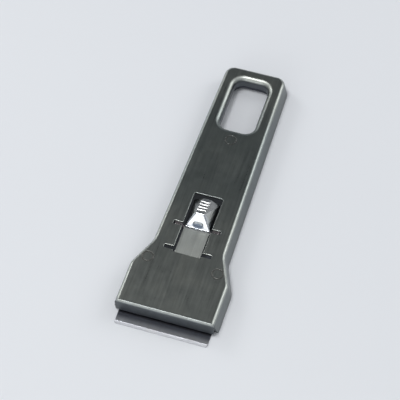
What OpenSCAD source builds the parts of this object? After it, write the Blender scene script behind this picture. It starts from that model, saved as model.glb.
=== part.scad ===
// Ceramic hob scraper: two pressed steel shells, a sliding blade carrier and a sprung thumb slider.
// It lies on its base. +Y points to the hanging hole, -Y to the blade, +Z up. Millimetres.

/* [Outline of the top shell] */
// Width of the head, measured just below the fold
head_w = 50; // [46:0.5:60]
// Width of the handle where it meets the flare
neck_w = 36.8; // [34:0.2:40]
// Width of the handle at its hanging end
end_w = 32; // [31:0.2:36]
// Length of the top shell from the blade lip to the hanging end
shell_l = 153; // [150:1:190]
// Distance from the lip to the shoulder of the head
shoulder_y = 23.7; // [23.5:0.1:26]
// Distance from the lip to the neck of the handle
neck_y = 38.9; // [37:0.1:44]
// Rounding of the shoulder
shoulder_r = 8; // [4:0.5:8]
// Rounding of the neck
neck_r = 12; // [8:0.5:20]
// Rounding of the corners at the hanging end
end_r = 5; // [4:0.5:7]

/* [Sheet and folds] */
// Thickness of the top shell
top_t = 1; // [0.8:0.1:1.2]
// Thickness of the base shell
base_t = 0.8; // [0.6:0.1:1]
// Outer radius of the fold along the sides
fold_r = 2; // [1.5:0.1:2.4]
// Outward lean of the side walls, in degrees
draft = 10; // [4:1:12]
// Height of the whole casing, from the table to the top face
case_h = 10; // [9.5:0.1:12]
// How far the base shell stands below the side walls
base_drop = 0.4; // [0.2:0.1:0.8]
// Outer radius of the base shell's edge
base_r = 1.4; // [1.2:0.1:1.8]
// Height of the base shell's inner walls
base_wall_h = 5; // [3:0.5:6]
// Gap between the two nested shells
nest_gap = 0.15; // [0.1:0.05:0.3]

/* [Blade mouth] */
// Width of the lip that hangs down at the front
lip_w = 49.6; // [44:0.2:49.8]
// Outer radius of the lip's fold
lip_r = 1.2; // [1.2:0.1:1.8]
// Height of the mouth between the lip and the base shell
mouth_h = 1.6; // [1.5:0.1:2.4]
// Width of the base shell where it reaches out under the lip
nose_w = 46.9; // [44:0.1:47.2]
// How far the base shell reaches out in front of the lip
nose_l = 6.7; // [5:0.1:9]
// Rounding of the base shell's front corners
nose_r = 0.8; // [0.4:0.1:1.5]
// Length of the bevel on the front edge of the base shell
nose_bevel = 1.3; // [0.8:0.1:2]
// Thickness of the base shell's front edge after the bevel
nose_edge = 0.15; // [0.1:0.05:0.3]
// How far the side walls are cut back at their lower front corners
corner_relief = 2.5; // [1:0.5:4]

/* [Hanging hole] */
// Clear width of the hole
hole_w = 18.4; // [14:0.2:19]
// Clear length of the hole
hole_l = 32.4; // [20:0.2:36]
// Distance from the end of the hole to the end of the handle
hole_end = 7; // [6.5:0.5:12]
// Corner radius of the hole's wall
hole_r = 5; // [3:0.5:7]
// Outer radius of the rolled rim round the hole
rim_r = 2.8; // [1.8:0.1:3]
// Depth of the drawn collar below the top face
collar_h = 5.6; // [4:0.2:6]
// Outer radius of the base shell's own rim round the hole
base_rim_r = 1.6; // [1.2:0.1:2]
// Length over which the two collars overlap
collar_lap = 0.8; // [0.4:0.1:1.2]

/* [Window and catch slots] */
// Width of the slider's window
window_w = 15; // [14.2:0.2:18]
// Distance from the lip to the front end of the window
window_y = 34.6; // [34:0.1:35]
// Length of the window
window_l = 36.3; // [36:0.1:44]
// Corner radius of the window
window_r = 1; // [0.5:0.1:1.5]
// Width of the chamfer on the edges of the window and the slots
edge_chamfer = 0.15; // [0.1:0.05:0.35]
// Distance from the window's front end to the middle of the front catch slot
slot_y = 2.1; // [1.5:0.1:2.2]
// Width of a catch slot
slot_w = 2; // [1.8:0.1:2.4]
// Corner radius of a catch slot
slot_r = 0.6; // [0.4:0.1:0.8]
// Length of a catch slot from tip to tip
slot_span = 24.4; // [22:0.2:26]
// Distance between the front and rear catch slots, which is the blade's travel
travel = 14.6; // [10:0.1:14.6]

/* [Posts and rivets] */
// Radius of the three posts that join the shells
post_r = 2.5; // [2.2:0.1:3]
// Distance of each head post from the side of the head
post_in = 7.2; // [7:0.1:8]
// Distance of the head posts from the lip
post_y = 28.4; // [27.5:0.1:29]
// Distance from the rear post to the hole
post_gap = 7; // [6:0.2:12]
// Radius of the closing rivets
rivet_r = 1.2; // [1:0.1:1.4]
// Radius of the closing rivets' countersunk heads
rivet_head_r = 2.1; // [1.9:0.1:2.4]
// Length of the closing rivets
rivet_l = 5; // [4:0.5:7]
// Outer radius of the weld marks on the top face
mark_r = 3; // [2.8:0.1:3.4]
// Width of the ring that each weld mark leaves
mark_w = 0.5; // [0.3:0.1:0.8]
// Depth of the weld marks
mark_d = 0.12; // [0.05:0.01:0.2]

/* [Blade] */
// Width of the blade
blade_w = 43; // [38:0.5:43]
// Depth of the blade from its edge to its back
blade_l = 22; // [20:0.5:22]
// Thickness of the blade
blade_t = 0.3; // [0.2:0.05:0.35]
// Length of the ground edge
blade_bevel = 1.4; // [0.8:0.1:2]
// Distance of the retracted edge behind the face of the lip
blade_back = 1; // [0.8:0.1:1.3]
// Radius of the blade's two holes
blade_hole_r = 2.05; // [1.8:0.05:2.4]
// Distance of each blade hole from the middle
blade_hole_x = 11; // [8:0.5:14]
// Distance of the blade holes from the edge
blade_hole_y = 12.6; // [11:0.1:14]

/* [Carrier] */
// Thickness of the carrier
carrier_t = 0.8; // [0.6:0.1:0.8]
// Width of the carrier's plate under the blade
carrier_w = 40; // [36:0.5:42]
// How far the blade reaches out in front of the carrier
blade_overhang = 7.6; // [7.5:0.1:8.5]
// Length of the carrier's plate
carrier_l = 16; // [15.5:0.5:16.5]
// Corner radius of the carrier
carrier_r = 1.5; // [0.5:0.5:2]
// Length of the guide shoes at the sides of the carrier
shoe_l = 5; // [4:0.5:5]
// Distance from the carrier's front to its guide shoes
shoe_y = 7.9; // [7.5:0.1:8]
// Width of the bridge that carries the slider
bridge_w = 20; // [14:0.5:24]
// Length of the slope that lifts the bridge
bridge_rise = 2; // [1.5:0.1:3]
// Length of the bridge's flat seat
bridge_seat = 3.2; // [2.8:0.1:3.4]
// Height of the blade pegs above the blade
peg_h = 0.2; // [0.1:0.05:0.3]
// Radius of the pegs' shanks in the carrier
peg_shank_r = 1.4; // [1:0.1:1.6]
// Distance of each slider rivet from the middle
pivot_x = 3.5; // [2.8:0.1:4]
// Radius of the slider rivets' shanks
pivot_r = 0.8; // [0.7:0.05:0.9]
// Radius of the slider rivets' heads
pivot_head_r = 1.2; // [1.15:0.05:1.3]
// Thickness of the slider rivets' heads
pivot_head_t = 0.4; // [0.3:0.05:0.4]

/* [Thumb slider] */
// Thickness of the slider
slider_t = 0.8; // [0.6:0.1:0.8]
// Width of the slider's tongue
tongue_w = 13.1; // [12:0.1:13.4]
// Depth of the tongue below the top face
tongue_depth = 1.8; // [1.75:0.05:1.9]
// Length of the tongue in front of its rivets
tongue_front = 2.8; // [2.4:0.1:3.2]
// Height of the thumb piece above the top face
thumb_h = 5; // [3:0.2:6]
// Length of the steep front face of the thumb piece
thumb_front_l = 5.2; // [4.5:0.1:7]
// Length of the ribbed rear slope of the thumb piece
thumb_rear_l = 12.1; // [9:0.1:12.4]
// Width of the thumb piece at its foot
thumb_foot_w = 13.9; // [13:0.1:14.2]
// Width of the thumb piece along its crest
thumb_crest_w = 5.5; // [4:0.1:7]
// Width of the ribbed slope at its rear end
thumb_tail_w = 5.2; // [4:0.1:8]
// Height of the ribbed slope's rear end above the top face
thumb_tail_h = 0.9; // [0.4:0.1:1.6]
// Outer radius of the thumb piece's edges
thumb_edge_r = 1; // [0.9:0.05:1.2]
// Number of thumb ribs
rib_n = 4; // [3:1:5]
// Radius of the thumb ribs
rib_r = 0.6; // [0.4:0.05:0.7]
// Height of the thumb ribs above the slope
rib_h = 0.45; // [0.3:0.05:0.6]
// Width of the dished spot in the front face
dish_w = 5.4; // [4:0.2:6]
// Half the height of the dished spot
dish_r = 1.4; // [1:0.1:1.8]
// Depth of the dished spot
dish_d = 0.35; // [0.2:0.05:0.4]

/* [Catch spring] */
// Thickness of the catch spring
spring_t = 0.4; // [0.3:0.05:0.4]
// Width of the spring's leaf under the tongue
spring_w = 9; // [8:0.2:10]
// Width of a catch wing, across its slot
wing_w = 1.5; // [1.2:0.1:1.6]
// Depth of the wings below the top face when they are caught
wing_depth = 0.3; // [0.2:0.05:0.4]
// Gap between the wing tips and the ends of their slots
wing_tip_gap = 0.3; // [0.2:0.05:0.5]
// Height of the curl at each wing tip
wing_curl = 0.7; // [0.4:0.1:0.9]

/* [Clearances] */
// Running gap between parts that slide on each other
run_gap = 0.1; // [0.08:0.01:0.12]
// Radial gap between a pin and its hole
pin_gap = 0.05; // [0.03:0.01:0.06]
// Gap that lets the slider tilt on its rivets
tilt_gap = 0.15; // [0.12:0.01:0.18]

/* [Hidden] */
$fn = 64;
hull_fn = 20;
lap = 0.5;
cut = 1;
far = 200;
arc_step = 5;
outer_steps = 12;
inner_steps = 5;

// Heights, measured down from the top face
wall_low = case_h - base_drop;
floor_top = case_h - base_t;
lip_low = floor_top - mouth_h;
carrier_low = floor_top - run_gap;
carrier_top = carrier_low - carrier_t;
blade_top = carrier_top - blade_t;
tongue_low = tongue_depth + slider_t;
spring_low = tongue_low + spring_t;
seat_top = spring_low + tilt_gap;
seat_low = seat_top + carrier_t;

// Places along the scraper, measured from the face of the lip
post_x = head_w / 2 - post_in;
hole_y = shell_l - hole_end - hole_l / 2;
rear_post_y = hole_y - hole_l / 2 - post_gap;
carrier_y = blade_back + blade_overhang;
carrier_back = carrier_y + carrier_l;
peg_y = blade_back + blade_hole_y;
bridge_y = carrier_back + bridge_rise;
pivot_y = bridge_y + bridge_seat / 2;
tongue_y = pivot_y - tongue_front;
front_slot_y = window_y + slot_y;
rear_slot_y = front_slot_y + travel;
crest_y = rear_slot_y + thumb_front_l;
tail_y = crest_y + thumb_rear_l;

// Folds of the two shells, seen in a cut across a side wall: outward from the wall, then height
wall_n = [cos(draft), sin(draft)];
fold_c = [-fold_r * cos(draft), -fold_r];
wall_top = fold_c + fold_r * wall_n;
wall_out = tan(draft) * (wall_low + wall_top.y);
base_line = wall_top * wall_n - top_t - nest_gap;
base_c_h = base_r - case_h;
base_c = [(base_line - base_r - base_c_h * sin(draft)) / cos(draft), base_c_h];

// Inner wall of the base shell's rim, outward from the wall of the hole
base_rim = top_t + nest_gap;

// The origin lies on the table under the middle of the outline
mid_y = (shell_l + wall_out - nose_l) / 2;

// Corners of the right-hand edge from front to back, and their roundings, which are below zero in a hollow
edge_pts = [[head_w / 2, 0], [head_w / 2, shoulder_y], [neck_w / 2, neck_y], [end_w / 2, shell_l],
            [0, shell_l]];
edge_r = [0, shoulder_r, -neck_r, end_r, 0];

function unit(v) = v / norm(v);
function heading(i) = unit(edge_pts[i + 1] - edge_pts[i]);
function heading_a(i) = atan2(heading(i).y, heading(i).x);
function out_of(i) = [heading(i).y, -heading(i).x];
function bend_a(i) = heading_a(i) - heading_a(i - 1);
function cut_back(i) = edge_r[i] == 0 ? 0 : edge_r[i] * tan(bend_a(i) / 2);
function run_start(i) = edge_pts[i] + heading(i) * cut_back(i);
function bend_c(i) = run_start(i) - edge_r[i] * out_of(i);

// Places along the right-hand edge from front to back: a point on the edge and the way out of it
right_edge = [
    for (i = [1:3]) let (steps = ceil(abs(bend_a(i)) / arc_step)) for (k = [0:steps])
        let (a = heading_a(i - 1) - 90 + bend_a(i) * k / steps)
        [bend_c(i) + edge_r[i] * [cos(a), sin(a)], [cos(a), sin(a)]]];

// Points of a fold's arc from one angle to another
function arc(centre, r, a0, a1, steps) = [
    for (k = [0:steps])
        let (a = a0 + (a1 - a0) * k / steps)
        centre + r * [cos(a), sin(a)]];

// Way across the step that starts at one point of a line, and the mitred way across the line at a point
function across_step(pts, i) = let (step = unit(pts[i + 1] - pts[i])) [-step.y, step.x];
function mitre(pts, i) =
    let (last = len(pts) - 1,
         a = across_step(pts, max(i - 1, 0)),
         b = across_step(pts, min(i, last - 1)))
    (a + b) / (1 + a * b);

// Outline of a bent strip of sheet, from the line of points along its middle
function bent_strip(pts, t) = concat(
    [for (i = [0:len(pts) - 1]) pts[i] + t / 2 * mitre(pts, i)],
    [for (i = [len(pts) - 1:-1:0]) pts[i] - t / 2 * mitre(pts, i)]);

function mirrored(pts) = [for (i = [len(pts) - 1:-1:0]) [-pts[i].x, pts[i].y]];

// A cut's points set across the edge at one place, with x outward from the edge
function set_across(place, pts) = [for (q = pts) [each place[0] + q.x * place[1], q.y]];

// Rings of points along the right-hand edge, and the same rings mirrored back along the left-hand edge
function both_edges(rings) = concat(rings, [for (i = [len(rings) - 1:-1:0])
    [for (p = rings[i]) [-p.x, p.y, p.z]]]);

// The object's own frame
module place() {
    translate([0, -mid_y, case_h]) children();
}

module both_sides() {
    children();
    mirror([1, 0, 0]) children();
}

// Extrudes a cut drawn in Y and Z to both sides of the middle
module across(w) {
    translate([-w / 2, 0, 0]) rotate([90, 0, 90]) linear_extrude(w) children();
}

// Plate between two depths below the top face
module plate(top, low) {
    translate([0, 0, -low]) linear_extrude(low - top) children();
}

module outline(off, front) {
    right = concat([[head_w / 2 + off, front]], [for (place = right_edge) place[0] + off * place[1]]);
    polygon(concat(right, mirrored(right)));
}

module rounded_rect(w, l, r) {
    square([w - 2 * r, l], center = true);
    square([w, l - 2 * r], center = true);
    for (x = [-1, 1], y = [-1, 1]) translate([x * (w / 2 - r), y * (l / 2 - r)]) circle(r);
}

// Skin over rings of points that all have the same number of points, either closed or with two ends
module loft(rings, closed) {
    n = len(rings[0]);
    last = len(rings) - 1;
    polyhedron(
        points = [for (ring = rings) each ring],
        faces = concat(
            [for (i = [0:closed ? last : last - 1]) for (k = [0:n - 1])
                let (j = (i + 1) % (last + 1), m = (k + 1) % n)
                [i * n + k, j * n + k, j * n + m, i * n + m]],
            closed ? [] : [[for (k = [0:n - 1]) k], [for (k = [n - 1:-1:0]) last * n + k]]));
}

// Sweeps a cut round a rounded opening, with x outward from the opening's wall
module round_opening(w, l, r, y) {
    for (q = [0:3]) {
        side = (q % 2 == 0 ? w : l) / 2 - r;
        run = (q % 2 == 0 ? l : w) / 2 - r;
        translate([0, y, 0]) rotate(90 * q) {
            translate([side + r, run, 0]) rotate([90, 0, 0]) linear_extrude(2 * run) children();
            translate([side, run, 0]) rotate_extrude(angle = 90) translate([r, 0]) children();
        }
    }
}

// Fold, side wall and a strip of the top face, in a cut across the edge
side_fold = concat(
    [[fold_c.x - 2 * lap, 0]], arc(fold_c, fold_r, 90, draft, outer_steps),
    [[wall_out, -wall_low], [wall_out - top_t / cos(draft), -wall_low]],
    arc(fold_c, fold_r - top_t, draft, 90, inner_steps), [[fold_c.x - 2 * lap, -top_t]]);

// The same points at the front lip, which folds more sharply and hangs straight down
lip_out = concat(
    [-lip_r - 2 * lap], [for (k = [0:outer_steps]) lip_r * (sin(90 * k / outer_steps) - 1)],
    [0, -top_t],
    [for (k = [0:inner_steps]) (lip_r - top_t) * cos(90 * k / inner_steps) - lip_r], [-lip_r - 2 * lap]);

// Ring of points where the front lip meets the right-hand side
front_corner = [
    for (k = [0:len(side_fold) - 1])
        [head_w / 2 + side_fold[k].x, -lip_out[k], side_fold[k].y]];

// Strip of floor, bend and leaning wall of the base shell, in a cut across the edge
base_fold =
    let (up = [-sin(draft), cos(draft)],
         outer = base_c + base_r * wall_n,
         inner = base_c + (base_r - base_t) * wall_n,
         high = base_wall_h - case_h)
    concat([[base_c.x - 2 * lap, -floor_top]], arc(base_c, base_r - base_t, -90, draft, inner_steps),
           [inner + up * (high - inner.y) / up.y, outer + up * (high - outer.y) / up.y],
           arc(base_c, base_r, draft, -90, inner_steps), [[base_c.x - 2 * lap, -case_h]]);

// Rolled rim and collar of the top shell round the hanging hole
module top_rim() {
    polygon(concat([[rim_r + 2 * lap, 0]], arc([rim_r, -rim_r], rim_r, 90, 180, outer_steps),
                   [[0, -collar_h], [top_t, -collar_h]],
                   arc([rim_r, -rim_r], rim_r - top_t, 180, 90, inner_steps), [[rim_r + 2 * lap, -top_t]]));
}

// Strip of floor, bend and collar of the base shell round the hanging hole
module base_rim_fold() {
    centre = [base_rim + base_rim_r, base_rim_r - case_h];
    high = collar_lap - collar_h;
    polygon(concat([[centre.x + 2 * lap, -case_h]], arc(centre, base_rim_r, 270, 180, inner_steps),
                   [[base_rim, high], [base_rim + base_t, high]],
                   arc(centre, base_rim_r - base_t, 180, 270, inner_steps),
                   [[centre.x + 2 * lap, -floor_top]]));
}

// Opening with straight walls and a chamfer along its top edge
module chamfered_opening(w, l, r, y) {
    plate(-cut, top_t + cut) translate([0, y]) rounded_rect(w, l, r);
    round_opening(w, l, r, y)
        polygon([[0, -edge_chamfer], [edge_chamfer, 0], [edge_chamfer, lap], [-lap / 2, lap],
                 [-lap / 2, -edge_chamfer]]);
}

module at_posts() {
    both_sides() translate([post_x, post_y, 0]) children();
    translate([0, rear_post_y, 0]) children();
}

module weld_mark() {
    translate([0, 0, -mark_d]) difference() {
        cylinder(h = mark_d + cut, r = mark_r);
        translate([0, 0, -cut]) cylinder(h = mark_d + 3 * cut, r = mark_r - mark_w);
    }
}

// Room in front of the cut-back lower corners of the side walls
module corner_room() {
    both_sides() translate([lip_w / 2, 0, 0]) rotate([90, 0, 90]) linear_extrude(head_w / 4)
        polygon([[-cut, -fold_r], [lip_r / 2, -fold_r], [corner_relief, -wall_low],
                 [corner_relief, -wall_low - cut], [-cut, -wall_low - cut]]);
}

// Room under the front lip
module mouth_room() {
    translate([-lip_w / 2 - lap, -cut, -case_h - cut])
        cube([lip_w + 2 * lap, top_t + 2 * cut, case_h + cut - lip_low]);
}

module top_shell() color("#74766f") place() {
    rim_cut = rim_r + lap;
    right_folds = [for (place = right_edge) set_across(place, side_fold)];
    difference() {
        union() {
            difference() {
                plate(0, top_t) outline(fold_c.x - lap, lip_r + lap);
                plate(-cut, top_t + cut) translate([0, hole_y])
                    rounded_rect(hole_w + 2 * rim_cut, hole_l + 2 * rim_cut, hole_r + rim_cut);
            }
            loft(both_edges(concat([front_corner], right_folds)), true);
            round_opening(hole_w, hole_l, hole_r, hole_y) top_rim();
        }
        corner_room();
        mouth_room();
        chamfered_opening(window_w, window_l, window_r, window_y + window_l / 2);
        for (y = [front_slot_y, rear_slot_y]) chamfered_opening(slot_span, slot_w, slot_r, y);
        at_posts() weld_mark();
    }
}

module base_shell() color("#8b8d8e") place() {
    nose_in = corner_relief + 2 * lap;
    slope = (base_t - nose_edge) / nose_bevel;
    rim_cut = base_rim + base_rim_r + lap;
    front_fold = set_across([[head_w / 2, 0], [1, 0]], base_fold);
    right_folds = [for (place = right_edge) set_across(place, base_fold)];
    difference() {
        union() {
            plate(floor_top, case_h) difference() {
                outline(base_c.x - lap, corner_relief);
                translate([0, hole_y])
                    rounded_rect(hole_w + 2 * rim_cut, hole_l + 2 * rim_cut, hole_r + rim_cut);
            }
            plate(floor_top, case_h) translate([0, (nose_in - nose_l) / 2])
                rounded_rect(nose_w, nose_in + nose_l, nose_r);
            difference() {
                loft(both_edges(concat([front_fold], right_folds)), false);
                translate([-far / 2, corner_relief - far, -far / 2]) cube(far);
            }
            round_opening(hole_w, hole_l, hole_r, hole_y) base_rim_fold();
        }
        across(far)
            polygon([[-nose_l - cut, -case_h + nose_edge - slope * cut], [nose_bevel - nose_l, -floor_top],
                     [nose_bevel - nose_l, cut - floor_top], [-nose_l - cut, cut - floor_top]]);
        at_posts() translate([0, 0, -case_h]) {
            translate([0, 0, -cut]) cylinder(h = base_t + 2 * cut, r = rivet_r + pin_gap);
            cylinder(h = base_t, r1 = rivet_head_r + pin_gap, r2 = rivet_r + pin_gap);
        }
    }
}

module post() {
    difference() {
        translate([0, 0, -floor_top]) cylinder(h = floor_top - top_t, r = post_r);
        translate([0, 0, -floor_top - cut])
            cylinder(h = rivet_l - base_t + tilt_gap + cut, r = rivet_r + pin_gap);
    }
}

module post_left() color("#9a9c9b") place() translate([-post_x, post_y, 0]) post();

module post_right() color("#9a9c9b") place() translate([post_x, post_y, 0]) post();

module post_rear() color("#9a9c9b") place() translate([0, rear_post_y, 0]) post();

module closing_rivets() color("#a8aaa9") place() at_posts() translate([0, 0, -case_h]) difference() {
    union() {
        cylinder(h = rivet_l, r = rivet_r);
        cylinder(h = base_t, r1 = rivet_head_r, r2 = rivet_r);
    }
    translate([0, 0, -cut]) cylinder(h = cut + base_t / 2, r = rivet_r / 2);
}

module at_pegs() {
    both_sides() translate([blade_hole_x, peg_y, 0]) children();
}

module at_slider_rivets() {
    both_sides() translate([pivot_x, pivot_y, 0]) children();
}

module blade_carrier() color("#8f9192") place() {
    shoe_w = head_w + 2 * base_c.x;
    mid = (carrier_top + carrier_low) / 2;
    seat_mid = (seat_top + seat_low) / 2;
    bridge = [[carrier_back - carrier_r, -mid], [carrier_back, -mid], [bridge_y, -seat_mid],
              [bridge_y + bridge_seat, -seat_mid]];
    difference() {
        union() {
            plate(carrier_top, carrier_low) {
                translate([0, carrier_y + carrier_l / 2]) rounded_rect(carrier_w, carrier_l, carrier_r);
                translate([0, carrier_y + shoe_y + shoe_l / 2]) rounded_rect(shoe_w, shoe_l, carrier_r);
            }
            across(bridge_w) polygon(bent_strip(bridge, carrier_t));
        }
        at_pegs() translate([0, 0, -carrier_low - cut])
            cylinder(h = carrier_t + 2 * cut, r = peg_shank_r + pin_gap);
        at_slider_rivets() translate([0, 0, -seat_low - cut])
            cylinder(h = carrier_t + 2 * cut, r = pivot_r + pin_gap);
    }
}

module blade() color("#b9bcbe") place() {
    edge_y = blade_back;
    back_y = blade_back + blade_l;
    difference() {
        across(blade_w) polygon([[edge_y, -carrier_top], [back_y, -carrier_top], [back_y, -blade_top],
                                 [edge_y + blade_bevel, -blade_top]]);
        at_pegs() translate([0, 0, -carrier_top - cut]) cylinder(h = blade_t + 2 * cut, r = blade_hole_r);
    }
}

module blade_peg() {
    translate([blade_hole_x, peg_y, 0]) {
        translate([0, 0, -carrier_low]) cylinder(h = carrier_t + blade_t, r = peg_shank_r);
        translate([0, 0, -carrier_top]) cylinder(h = blade_t + peg_h, r = blade_hole_r - pin_gap);
    }
}

module blade_peg_left() color("#9a9c9b") place() mirror([1, 0, 0]) blade_peg();

module blade_peg_right() color("#9a9c9b") place() blade_peg();

module slider_rivets() color("#a8aaa9") place() at_slider_rivets() {
    head_low = tongue_depth - tilt_gap;
    translate([0, 0, -seat_low - pivot_head_t]) cylinder(h = pivot_head_t, r = pivot_head_r);
    translate([0, 0, -seat_low]) cylinder(h = seat_low - head_low, r = pivot_r);
    translate([0, 0, -head_low]) cylinder(h = pivot_head_t, r = pivot_head_r);
}

// Middle line of the thumb piece's edge rounding: front foot, crest, rear end of the slope and rear foot
foot_p = [rear_slot_y + thumb_edge_r, -tongue_depth - thumb_edge_r];
crest_p = [crest_y, thumb_h - thumb_edge_r];
tail_p = [tail_y - thumb_edge_r, thumb_tail_h - thumb_edge_r];
heel_p = [tail_p.x, foot_p.y];

// Solid shape of the thumb piece with its edges rounded by r
module thumb_body(r) {
    corners = [[thumb_foot_w, foot_p], [thumb_crest_w, crest_p],
               [thumb_tail_w, tail_p], [thumb_foot_w, heel_p]];
    hull() for (c = corners, side = [-1, 1])
        translate([side * (c[0] / 2 - thumb_edge_r), c[1].x, c[1].y]) sphere(r, $fn = hull_fn);
}

module thumb_rib(f) {
    along = tail_p - crest_p;
    up = unit([-along.y, along.x]);
    p = crest_p + f * along + (thumb_edge_r + rib_h - rib_r) * up;
    w = thumb_tail_w - rib_r;
    translate([0, p.x, p.y]) both_sides() rotate([0, 90, 0]) {
        cylinder(h = w / 2, r = rib_r);
        translate([0, 0, w / 2]) cylinder(h = rib_r / 2, r1 = rib_r, r2 = rib_r / 2);
    }
}

module thumb_slider() color("#8a8c8d") place() {
    up = unit(crest_p - foot_p);
    out = [-up.y, up.x];
    ball_r = (dish_r * dish_r + dish_d * dish_d) / (2 * dish_d);
    dish_p = foot_p + 2 * dish_r * up + (thumb_edge_r + ball_r - dish_d) * out;
    difference() {
        union() {
            plate(tongue_depth, tongue_low) translate([-tongue_w / 2, tongue_y])
                square([tongue_w, foot_p.x - tongue_y]);
            intersection() {
                thumb_body(thumb_edge_r);
                translate([-far / 2, -far / 2, -tongue_low]) cube(far);
            }
            for (k = [1:rib_n]) thumb_rib(k / (rib_n + 1));
        }
        thumb_body(thumb_edge_r - slider_t);
        translate([0, dish_p.x, dish_p.y]) both_sides() {
            rotate([0, 90, 0]) cylinder(h = dish_w / 2 - dish_r, r = ball_r);
            translate([dish_w / 2 - dish_r, 0, 0]) sphere(ball_r);
        }
        at_slider_rivets() translate([0, 0, -tongue_low - cut])
            cylinder(h = slider_t + 2 * cut, r = pivot_r + tilt_gap);
    }
}

module catch_spring() color("#b0b2b3") place() {
    mid = (tongue_low + spring_low) / 2;
    root = thumb_foot_w / 2 + 2 * tilt_gap;
    top = window_w / 2 + 2 * spring_t;
    tip = slot_span / 2 - wing_tip_gap - spring_t / 2;
    wing_mid = wing_depth + spring_t / 2;
    difference() {
        plate(tongue_low, spring_low) translate([-spring_w / 2, tongue_y])
            square([spring_w, rear_slot_y + wing_w / 2 - tongue_y]);
        at_slider_rivets() translate([0, 0, -spring_low - cut])
            cylinder(h = spring_t + 2 * cut, r = pivot_r + tilt_gap);
    }
    wing = [[root, -mid], [top, -wing_mid], [tip - wing_curl, -wing_mid], [tip, -wing_mid - wing_curl]];
    translate([0, rear_slot_y + wing_w / 2, 0]) rotate([90, 0, 0]) linear_extrude(wing_w)
        polygon(bent_strip(concat(mirrored(wing), wing), spring_t));
}

top_shell();
base_shell();
post_left();
post_right();
post_rear();
closing_rivets();
blade_carrier();
blade();
blade_peg_left();
blade_peg_right();
slider_rivets();
thumb_slider();
catch_spring();
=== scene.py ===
import math
import bpy
from mathutils import Matrix, Vector


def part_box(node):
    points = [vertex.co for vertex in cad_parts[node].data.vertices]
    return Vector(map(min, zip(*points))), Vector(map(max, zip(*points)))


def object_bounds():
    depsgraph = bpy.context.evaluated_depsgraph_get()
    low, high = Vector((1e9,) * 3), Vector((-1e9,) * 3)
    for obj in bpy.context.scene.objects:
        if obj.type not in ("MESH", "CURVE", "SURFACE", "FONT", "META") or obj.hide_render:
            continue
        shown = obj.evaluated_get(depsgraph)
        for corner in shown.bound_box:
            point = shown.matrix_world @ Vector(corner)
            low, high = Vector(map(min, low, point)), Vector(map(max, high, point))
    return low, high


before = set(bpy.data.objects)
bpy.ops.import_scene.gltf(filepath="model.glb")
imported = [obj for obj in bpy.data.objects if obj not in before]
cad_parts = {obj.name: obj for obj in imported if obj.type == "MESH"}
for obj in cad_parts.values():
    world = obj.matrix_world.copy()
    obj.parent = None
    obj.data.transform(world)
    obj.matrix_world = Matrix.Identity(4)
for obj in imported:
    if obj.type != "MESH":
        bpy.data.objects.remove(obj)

cad_lo, cad_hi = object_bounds()
top_lo, top_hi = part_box("top_shell")
slider_lo, slider_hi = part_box("thumb_slider")
scene = bpy.context.scene

# Front of the folded lip
LIP_Y = top_lo.y

# Lip's fold, darkened with painted shade: how far behind the lip it ends, and how far behind it is full
LIP_FOLD = (0.00225, 0.00085)

# Painted shade on the nose under the lip: how far before the lip it starts, and how far before it is full
NOSE_SHADE = (0.00495, 0.00145)

# Middle of the handle, darkened with painted shade, and how softly it starts and ends
HANDLE_Y = (top_hi.y - 0.09255, top_hi.y - 0.02455)
HANDLE_SOFT = (0.020, 0.012)

# Tinted part round the hanging hole: half its width, where it starts and ends along the scraper, and its
# soft edge
HOLE_X = 0.0110
HOLE_Y = (top_hi.y - 0.04305, top_hi.y - 0.00605)
HOLE_SOFT = 0.001

# Weld marks in the top face, one round each post: how far they lie outside the post, half their width,
# and the share of it where they are full
MARK_OUT = 0.0002
MARK_W = 0.0007
MARK_FULL = 0.3

# Thumb slider: end of the dull tongue, and top of the front face where painted reflection begins, each with
# its soft edge
TONGUE_END = slider_lo.y + 0.02535
TONGUE_SOFT = 0.0006
CREST_Y = slider_lo.y + 0.03025
CREST_SOFT = 0.0016

# Dished spot in the slider's front face, darkened with painted shade: its middle, half its width, depth and
# height, and how far out in these halves it starts and is full
DISH_AT = (0.0, slider_lo.y + 0.02675, slider_hi.z - 0.00519)
DISH_HALF = (0.0029, 0.0012, 0.0016)
DISH_EDGE = (1.30, 0.80)

# Upward part of the normal where wall, fold and inner bottom start, and where they are full
WALL_TILT = (0.75, 0.15)
FOLD_TILT = (0.995, 0.93)
BOTTOM_TILT = (0.5, 0.8)

# Edges: samples of the rounded normal, and its dot product with the flat one where they start and are full
EDGE_SAMPLES = 6
EDGE_TURN = (0.995, 0.86)

# Light that the inner bottom of the casing gives off, in place of weak reflections: colour, strength, and
# how far behind the lip it is full
FILL_COLOUR = (0.85, 0.92, 1.0)
FILL_STRENGTH = 0.024
FILL_FROM = 0.004

# Brushed grain: width and length of its fine, middle and broad streaks
FINE_STREAK = (0.00022, 0.012)
MIDDLE_STREAK = (0.0009, 0.035)
BROAD_STREAK = (0.004, 0.06)

# Smudges and blots: how many to a metre along each axis
CLOUD_SCALE = (95.0, 70.0, 95.0)
BLOT_SCALE = (330.0, 300.0, 330.0)

# Two sets of scratches: how many to a metre, their turn, and the noise values where they start and are
# full
SCRATCHES = (
    ((1500.0, 45.0, 1500.0), 0.62, 0.70, 0.76),
    ((1700.0, 60.0, 1700.0), -0.90, 0.72, 0.78),
)

# Shares of the fine and middle streaks in the lines of the grain
FINE_SHARE = 0.45
MIDDLE_SHARE = 0.55

# How far each pattern changes the shade of steel
LINES_SHADE = 0.48
BROAD_SHADE = 0.16
CLOUD_SHADE = 0.24
BLOT_SHADE = 0.38

# How far lines, smudges and edges change its roughness
LINES_ROUGH = 0.16
CLOUD_ROUGH = 0.14
EDGE_ROUGH = 0.06

# Grease that warms the tint: its colour, the noise values where it starts and is full, and its share
# there
GREASE = (0.74, 0.68, 0.56)
GREASE_FROM = (0.42, 0.68)
GREASE_SHARE = 0.20
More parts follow.
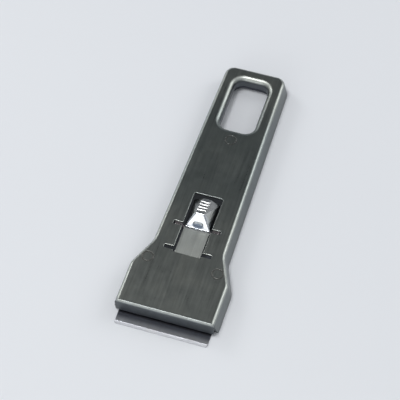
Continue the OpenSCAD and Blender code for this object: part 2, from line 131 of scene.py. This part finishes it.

# Edges brightened by wear and a painted highlight, and scratches with their share of the colour
EDGE_WEAR_AND_HIGHLIGHT = (0.86, 0.87, 0.88)
SCRATCHED = (0.9, 0.9, 0.9)
SCRATCH_SHARE = 0.20

# Relief of the steel: its depth and strength, the least grain that counts for it, and how much blots
# raise it and scratches lower it
BUMP_DEPTH = 0.00004
BUMP_STRENGTH = 0.30
BUMP_LEAST = 0.2
BLOT_RELIEF = 0.15
SCRATCH_RELIEF = 0.5

# Floor: its side, and the two colours that it drifts between
FLOOR_SIZE = 6.0
FLOOR_COLOURS = ((0.79, 0.81, 0.85), (0.83, 0.85, 0.88))

# Studio dome: colour at the horizon and overhead
SKY_LOW = (0.33, 0.345, 0.36)
SKY_HIGH = (0.50, 0.51, 0.52)

# Dim patch of the dome: its middle, half its width and height, where in these halves it starts and ends
# fading, its colours from low to high, and where these colours change
DIM_AT = Vector((-0.19, 0.62, 0.76)).normalized()
DIM_HALF = (0.40, 0.70)
DIM_FADE = (0.55, 1.35)
DIM_COLOURS = ((0.140, 0.147, 0.145), (0.044, 0.050, 0.051), (0.15, 0.165, 0.185))
DIM_CHANGES = ((-0.26, -0.06), (0.0, 0.28))

# Camera: where it stands, what it looks at, its roll about its own axis, its lens and how near and far it
# sees
CAM_AT = Vector((0.1725, -0.4984, 0.7765))
CAM_TO = Vector((-0.0036, -0.0067, 0.010))
CAM_ROLL = math.radians(-2.15)
CAM_LENS = 168.3
CAM_SENSOR = 36.0
CAM_CLIP = (0.01, 50.0)

# Sockets of the mix node for colours
MIX_FACTOR = 0
MIX_A = 6
MIX_B = 7
MIX_RESULT = 2


class Graph:
    """Short hand for building a node tree."""

    def __init__(self, tree):
        self.tree = tree
        tree.nodes.clear()

    def add(self, kind, props=None, **inputs):
        """A new node. Inputs are given by name, or by number as i0, i1 and so on."""
        node = self.tree.nodes.new(kind)
        for name, value in (props or {}).items():
            setattr(node, name, value)
        for name, value in inputs.items():
            numbered = name[0] == "i" and name[1:].isdigit()
            self.set(node, int(name[1:]) if numbered else name.replace("_", " "), value)
        return node

    def set(self, node, key, value):
        """Link an input to a socket or to a node's first output, or give it a constant."""
        socket = node.inputs[key]
        if isinstance(value, bpy.types.NodeSocket):
            self.tree.links.new(value, socket)
        elif isinstance(value, bpy.types.Node):
            self.tree.links.new(value.outputs[0], socket)
        else:
            socket.default_value = value

    def math(self, op, a, b=0.0, clamp=False):
        return self.add("ShaderNodeMath", {"operation": op, "use_clamp": clamp}, i0=a, i1=b)

    def vector(self, op, a, b=(0.0, 0.0, 0.0)):
        """Vector math that gives a vector."""
        return self.add("ShaderNodeVectorMath", {"operation": op}, i0=a, i1=b)

    def measure(self, op, a, b=(0.0, 0.0, 0.0)):
        """Vector math that gives a number."""
        return self.vector(op, a, b).outputs["Value"]

    def swing(self, value, middle, amount):
        """How far a value lies from its middle, times an amount."""
        return self.math("MULTIPLY", self.math("SUBTRACT", value, middle), amount)

    def smooth(self, value, low, high, to_low=0.0, to_high=1.0):
        """A soft step, which is to_low at low and to_high at high. Low may be the larger of the two."""
        node = self.add("ShaderNodeMapRange", {"interpolation_type": "SMOOTHSTEP"}, Value=value)
        for key, number in (("From Min", low), ("From Max", high), ("To Min", to_low), ("To Max", to_high)):
            self.set(node, key, number)
        return node

    def mix(self, factor, a, b, kind="MIX"):
        """Colour b laid over colour a by a factor."""
        node = self.add("ShaderNodeMix", {"data_type": "RGBA", "blend_type": kind})
        self.set(node, MIX_FACTOR, factor)
        self.set(node, MIX_A, a)
        self.set(node, MIX_B, b)
        return node.outputs[MIX_RESULT]

    def noise(self, coord, scale, detail=2.0, rough=0.5, distortion=0.0, turn=0.0):
        mapped = self.add("ShaderNodeMapping", Vector=coord, Rotation=(0.0, 0.0, turn), Scale=scale)
        return self.add("ShaderNodeTexNoise", Vector=mapped, Scale=1.0, Detail=detail, Roughness=rough,
                        Distortion=distortion).outputs["Fac"]

    def axis(self, vector, name):
        return self.add("ShaderNodeSeparateXYZ", Vector=vector).outputs[name]

    def normal(self):
        """The flat normal of a face."""
        return self.add("ShaderNodeNewGeometry").outputs["Normal"]


def rgb(colour):
    return (*colour, 1.0)


def wall_zone(g, coord):
    """Faces that stand upright: the folded walls and the lip, which get painted shade."""
    tilt = g.math("ABSOLUTE", g.axis(g.normal(), "Z"))
    return g.smooth(tilt, *WALL_TILT)


def hole_wall_zone(g, coord):
    """The wall round the hanging hole, where little light gets."""
    y = g.axis(coord, "Y")
    x = g.math("ABSOLUTE", g.axis(coord, "X"))
    inside = g.math("MULTIPLY", g.smooth(x, HOLE_X + HOLE_SOFT, HOLE_X),
                    g.math("MULTIPLY", g.smooth(y, HOLE_Y[0] - HOLE_SOFT, HOLE_Y[0]),
                           g.smooth(y, HOLE_Y[1] + HOLE_SOFT, HOLE_Y[1])))
    return g.math("MULTIPLY", wall_zone(g, coord), inside)


def fold_zone(g, coord):
    """The rounded folds and the walls: less smooth than the flat top, and lighter, a painted highlight."""
    return g.smooth(g.axis(g.normal(), "Z"), *FOLD_TILT)


def lip_fold_zone(g, coord):
    """The front of the casing: a little rougher, and darkened with painted shade that dims its fold's
    highlight.
    """
    return g.smooth(g.axis(coord, "Y"), LIP_Y + LIP_FOLD[0], LIP_Y + LIP_FOLD[1])


def handle_zone(g, coord):
    """The middle of the handle, darker: painted shade."""
    y = g.axis(coord, "Y")
    return g.math("MULTIPLY", g.smooth(y, HANDLE_Y[0] - HANDLE_SOFT[0], HANDLE_Y[0] + HANDLE_SOFT[0]),
                  g.smooth(y, HANDLE_Y[1] + HANDLE_SOFT[1], HANDLE_Y[1] - HANDLE_SOFT[1]))


def mark_zone(g, coord):
    """Narrow rings where the posts are welded to the top."""
    flat = g.vector("MULTIPLY", coord, (1.0, 1.0, 0.0))
    rings = None
    for node in ("post_left", "post_right", "post_rear"):
        post_lo, post_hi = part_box(node)
        middle = (post_lo + post_hi) / 2
        mark_r = (post_hi.x - post_lo.x) / 2 + MARK_OUT
        away = g.measure("DISTANCE", flat, (middle.x, middle.y, 0.0))
        off = g.math("ABSOLUTE", g.math("SUBTRACT", away, mark_r))
        ring = g.smooth(off, MARK_W, MARK_FULL * MARK_W)
        rings = ring if rings is None else g.math("MAXIMUM", rings, ring)
    return rings


def dish_zone(g, coord):
    """The dished spot in the front face of the thumb slider, which gets painted shade."""
    halves = g.vector("DIVIDE", g.vector("SUBTRACT", coord, DISH_AT), DISH_HALF)
    return g.smooth(g.measure("LENGTH", halves), *DISH_EDGE)


def tongue_zone(g, coord):
    """The flat tongue before the slider's front face."""
    return g.smooth(g.axis(coord, "Y"), TONGUE_END + TONGUE_SOFT, TONGUE_END - TONGUE_SOFT)


def behind_crest_zone(g, coord):
    """The slope that the thumb rests on, darker and browner: a painted reflection."""
    return g.smooth(g.axis(coord, "Y"), CREST_Y, CREST_Y + CREST_SOFT)


def nose_zone(g, coord):
    """The nose gets darker towards the lip above it: painted shade."""
    return g.smooth(g.axis(coord, "Y"), LIP_Y - NOSE_SHADE[0], LIP_Y - NOSE_SHADE[1])


def inside_zone(g, coord):
    """The bottom of the casing on its inner side, which gets painted light."""
    up = g.smooth(g.axis(g.normal(), "Z"), *BOTTOM_TILT)
    return g.math("MULTIPLY", up, g.smooth(g.axis(coord, "Y"), LIP_Y, LIP_Y + FILL_FROM))


def stretched(streak, along):
    """Noise scale for streaks of one width and length that run along one axis."""
    width, length = streak
    scale = [1.0 / width] * 3
    scale["XYZ".index(along)] = 1.0 / length
    return tuple(scale)


def scratch_mask(g, coord):
    """Sparse scratches that cross the grain."""
    first, second = [g.smooth(g.noise(coord, scale, detail=1.0, turn=turn), start, full)
                     for scale, turn, start, full in SCRATCHES]
    return g.math("MAXIMUM", first, second)


def edge_mask(g, rounded):
    """Edges, where the rounded normal leaves the flat one."""
    return g.smooth(g.measure("DOT_PRODUCT", rounded, g.normal()), *EDGE_TURN)


def steel(name, tint, rough, grain=1.0, along="Y", smudge=0.5, bevel=0.00025, marks=0.5, wear_and_highlight=0.12,
          zones=(), fill=None):
    """Brushed or plain steel: streaks along one axis, cloudy smudges, fine scratches, and edge wear with a
    painted highlight.

    Each zone is a mask, the colour that the steel is multiplied by there, and what is added to its
    roughness. Fill is a mask of the faces deep inside, which get a little light of their own in place of the
    many weak reflections between the walls.
    """
    mat = bpy.data.materials.new(name)
    mat.use_nodes = True
    g = Graph(mat.node_tree)
    coord = g.add("ShaderNodeTexCoord").outputs["Object"]

    fine = g.noise(coord, stretched(FINE_STREAK, along), detail=3.0, rough=0.6)
    middle = g.noise(coord, stretched(MIDDLE_STREAK, along), detail=3.0, rough=0.55)
    broad = g.noise(coord, stretched(BROAD_STREAK, along), detail=2.0, rough=0.5)
    cloud = g.noise(coord, CLOUD_SCALE, detail=4.0, rough=0.6, distortion=0.6)
    blot = g.noise(coord, BLOT_SCALE, detail=3.0, rough=0.6, distortion=0.3)
    lines = g.math("ADD", g.math("MULTIPLY", fine, FINE_SHARE), g.math("MULTIPLY", middle, MIDDLE_SHARE))
    scratches = scratch_mask(g, coord)
    rounded = g.add("ShaderNodeBevel", {"samples": EDGE_SAMPLES}, Radius=bevel)
    edge = edge_mask(g, rounded)

    grained = g.math("ADD", g.swing(lines, 0.5, LINES_SHADE * grain),
                     g.swing(broad, 0.5, BROAD_SHADE * grain))
    smudged = g.math("ADD", g.swing(cloud, 0.5, CLOUD_SHADE * smudge),
                     g.swing(blot, 0.5, BLOT_SHADE * smudge))
    shade = g.math("ADD", 1.0, g.math("ADD", grained, smudged))
    tone = g.add("ShaderNodeVectorMath", {"operation": "SCALE"}, i0=tint, Scale=shade)
    greasy = rgb([part * share for part, share in zip(tint, GREASE)])
    colour = g.mix(g.smooth(cloud, *GREASE_FROM, 0.0, GREASE_SHARE * smudge), tone, greasy)
    # Edges lighter: wear, and a painted highlight
    colour = g.mix(g.math("MULTIPLY", edge, wear_and_highlight), colour, rgb(EDGE_WEAR_AND_HIGHLIGHT))
    colour = g.mix(g.math("MULTIPLY", scratches, SCRATCH_SHARE * marks), colour, rgb(SCRATCHED))

    dull = g.math("ADD", rough, g.swing(lines, 0.5, LINES_ROUGH * grain))
    dull = g.math("ADD", dull, g.swing(cloud, 0.45, CLOUD_ROUGH * smudge))
    dull = g.math("SUBTRACT", dull, g.math("MULTIPLY", edge, EDGE_ROUGH), clamp=True)
    for zone, zone_tint, zone_rough in zones:
        mask = zone(g, coord)
        colour = g.mix(mask, colour, rgb(zone_tint), "MULTIPLY")
        dull = g.math("ADD", dull, g.math("MULTIPLY", mask, zone_rough), clamp=True)

    height = g.math("ADD", lines, g.math("MULTIPLY", blot, BLOT_RELIEF))
    height = g.math("SUBTRACT", height, g.math("MULTIPLY", scratches, SCRATCH_RELIEF * marks))
    bump = g.add("ShaderNodeBump", Strength=BUMP_STRENGTH * max(grain, BUMP_LEAST), Distance=BUMP_DEPTH,
                 Height=height, Normal=rounded)
    bsdf = g.add("ShaderNodeBsdfPrincipled", Base_Color=colour, Metallic=1.0, Roughness=dull, Normal=bump)
    if fill:
        g.set(bsdf, "Emission Color", rgb(FILL_COLOUR))
        g.set(bsdf, "Emission Strength", g.math("MULTIPLY", fill(g, coord), FILL_STRENGTH))
    g.add("ShaderNodeOutputMaterial", Surface=bsdf)
    return mat


def top_steel():
    """Brushed, with painted shade on walls, lip fold and handle, a painted highlight on folds, and weld
    marks.
    """
    zones = [
        # Painted shade: upright walls darker
        (wall_zone, (0.41, 0.42, 0.45), 0.0),
        (hole_wall_zone, (0.60, 0.61, 0.66), 0.0),
        # Painted highlight: folds and walls lighter
        (fold_zone, (1.35, 1.35, 1.33), 0.08),
        # Painted shade that dims the highlight on the lip's fold
        (lip_fold_zone, (0.72, 0.73, 0.76), 0.03),
        # Painted shade on the middle of the handle
        (handle_zone, (0.80, 0.83, 0.85), 0.0),
        (mark_zone, (0.42, 0.40, 0.39), 0.12),
    ]
    return steel("brushed_top_steel", (0.345, 0.365, 0.350), 0.30, smudge=0.8, bevel=0.00028, marks=0.25,
                 zones=zones)


def base_steel():
    """Plain sheet, with painted shade on its walls and under the lip, and painted light on its inner bottom.
    """
    zones = [
        # Painted shade: upright walls darker
        (wall_zone, (0.60, 0.61, 0.63), 0.05),
        # Painted shade on the nose under the lip
        (nose_zone, (0.24, 0.25, 0.28), 0.0),
        # Painted light: the inner bottom made lighter
        (inside_zone, (1.6, 1.6, 1.6), 0.30),
    ]
    return steel("plain_base_steel", (0.41, 0.42, 0.45), 0.34, grain=0.55, smudge=0.7, bevel=0.0003,
                 zones=zones, fill=inside_zone)


def turned_steel():
    """Posts, rivets and pegs, with a faint grain along their upright axes."""
    return steel("turned_steel", (0.66, 0.67, 0.67), 0.25, grain=0.3, along="Z", smudge=0.3, bevel=0.00012)


def carrier_steel():
    return steel("carrier_steel", (0.58, 0.58, 0.57), 0.34, grain=0.5, smudge=0.6, bevel=0.00015)


def blade_steel():
    """Bright, with its grain along the cutting edge."""
    return steel("blade_steel", (0.66, 0.68, 0.70), 0.20, grain=0.5, along="X", bevel=0.00005)


def slider_steel():
    """Bright pressed steel: a duller tongue, painted shade in the dish, a painted reflection behind the
    crest.
    """
    zones = [
        (tongue_zone, (0.84, 0.85, 0.77), 0.22),
        # Painted shade in the dish
        (dish_zone, (0.24, 0.28, 0.34), 0.25),
        # Painted reflection on the slope behind the crest
        (behind_crest_zone, (0.80, 0.78, 0.74), 0.04),
    ]
    return steel("bright_slider_steel", (0.69, 0.71, 0.75), 0.18, grain=1.2, smudge=0.6, bevel=0.0003,
                 wear_and_highlight=0.4, zones=zones)


def spring_steel():
    return steel("spring_steel", (0.30, 0.27, 0.28), 0.32, grain=0.4, along="X", bevel=0.00012, wear_and_highlight=0.05)


def paint(mat, *nodes):
    """Give CAD nodes one material."""
    for node in nodes:
        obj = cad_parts[node]
        obj.data.materials.clear()
        obj.data.materials.append(mat)


def floor_material():
    mat = bpy.data.materials.new("pale_floor")
    mat.use_nodes = True
    g = Graph(mat.node_tree)
    coord = g.add("ShaderNodeTexCoord").outputs["Object"]
    drift = g.noise(coord, (3.0, 3.0, 3.0), detail=3.0)
    colour = g.mix(drift, rgb(FLOOR_COLOURS[0]), rgb(FLOOR_COLOURS[1]))
    bsdf = g.add("ShaderNodeBsdfPrincipled", Base_Color=colour, Roughness=0.6)
    g.add("ShaderNodeOutputMaterial", Surface=bsdf)
    return mat


def pale_floor():
    """A plain floor under the scraper, which isn't part of it."""
    mesh = bpy.data.meshes.new("floor")
    half = FLOOR_SIZE / 2
    corners = [(-half, -half, 0), (half, -half, 0), (half, half, 0), (-half, half, 0)]
    mesh.from_pydata(corners, [], [(0, 1, 2, 3)])
    floor = bpy.data.objects.new("floor", mesh)
    scene.collection.objects.link(floor)
    floor.location.z = cad_lo.z
    floor.data.materials.append(floor_material())


def studio_world():
    """Pale dome with a soft dim patch where the flat top mirrors it, so that brushed steel looks mid grey."""
    world = bpy.data.worlds.new("studio")
    scene.world = world
    world.use_nodes = True
    g = Graph(world.node_tree)
    ray = g.add("ShaderNodeTexCoord").outputs["Generated"]
    side = Vector((1.0, 0.0, 0.0))
    side = (side - DIM_AT * side.dot(DIM_AT)).normalized()
    up = DIM_AT.cross(side)

    def towards(axis):
        return g.measure("DOT_PRODUCT", ray, tuple(axis))

    across = g.math("DIVIDE", towards(side), DIM_HALF[0])
    upward = g.math("DIVIDE", towards(up), DIM_HALF[1])
    far = g.math("SQRT", g.math("ADD", g.math("MULTIPLY", across, across),
                                g.math("MULTIPLY", upward, upward)))
    near_side = g.smooth(towards(DIM_AT), 0.1, 0.3)
    dim = g.math("MULTIPLY", g.smooth(far, *DIM_FADE, 1.0, 0.0), near_side)
    sky = g.mix(g.smooth(towards((0.0, 0.0, 1.0)), 0.0, 0.9), rgb(SKY_LOW), rgb(SKY_HIGH))
    patch = rgb(DIM_COLOURS[0])
    for change, colour in zip(DIM_CHANGES, DIM_COLOURS[1:]):
        patch = g.mix(g.smooth(towards(up), *change), patch, rgb(colour))
    back = g.add("ShaderNodeBackground", Color=g.mix(dim, sky, patch), Strength=1.0)
    g.add("ShaderNodeOutputWorld", Surface=back)


def softbox(name, at, size, power):
    """A rectangular light that faces the scraper."""
    lamp = bpy.data.lights.new(name, "AREA")
    lamp.shape = "RECTANGLE"
    lamp.size, lamp.size_y = size
    lamp.energy = power
    obj = bpy.data.objects.new(name, lamp)
    scene.collection.objects.link(obj)
    obj.location = at
    obj.rotation_euler = (-Vector(at)).to_track_quat("-Z", "Y").to_euler()


def photo_camera():
    """A camera that sees the scraper from the photograph's angle."""
    camera = bpy.data.objects.new("camera", bpy.data.cameras.new("camera"))
    scene.collection.objects.link(camera)
    camera.data.sensor_width = CAM_SENSOR
    camera.data.lens = CAM_LENS
    camera.data.clip_start, camera.data.clip_end = CAM_CLIP
    turn = (CAM_TO - CAM_AT).to_track_quat("-Z", "Y").to_matrix() @ Matrix.Rotation(CAM_ROLL, 3, "Z")
    camera.matrix_world = Matrix.Translation(CAM_AT) @ turn.to_4x4()
    scene.camera = camera


paint(top_steel(), "top_shell")
paint(base_steel(), "base_shell")
paint(turned_steel(), "post_left", "post_right", "post_rear", "closing_rivets", "blade_peg_left",
      "blade_peg_right", "slider_rivets")
paint(carrier_steel(), "blade_carrier")
paint(blade_steel(), "blade")
paint(slider_steel(), "thumb_slider")
paint(spring_steel(), "catch_spring")

pale_floor()
studio_world()
softbox("light_key", (-0.95, 0.45, 0.72), (0.40, 0.40), 2.0)
softbox("light_overhead", (-0.25, -0.20, 1.3), (0.5, 0.25), 6.0)
softbox("light_right_back", (0.85, 0.70, 0.75), (0.5, 0.8), 3.0)
softbox("light_front", (-0.24, -1.15, 0.30), (0.9, 0.7), 3.0)
photo_camera()
scene.view_settings.view_transform = "Standard"
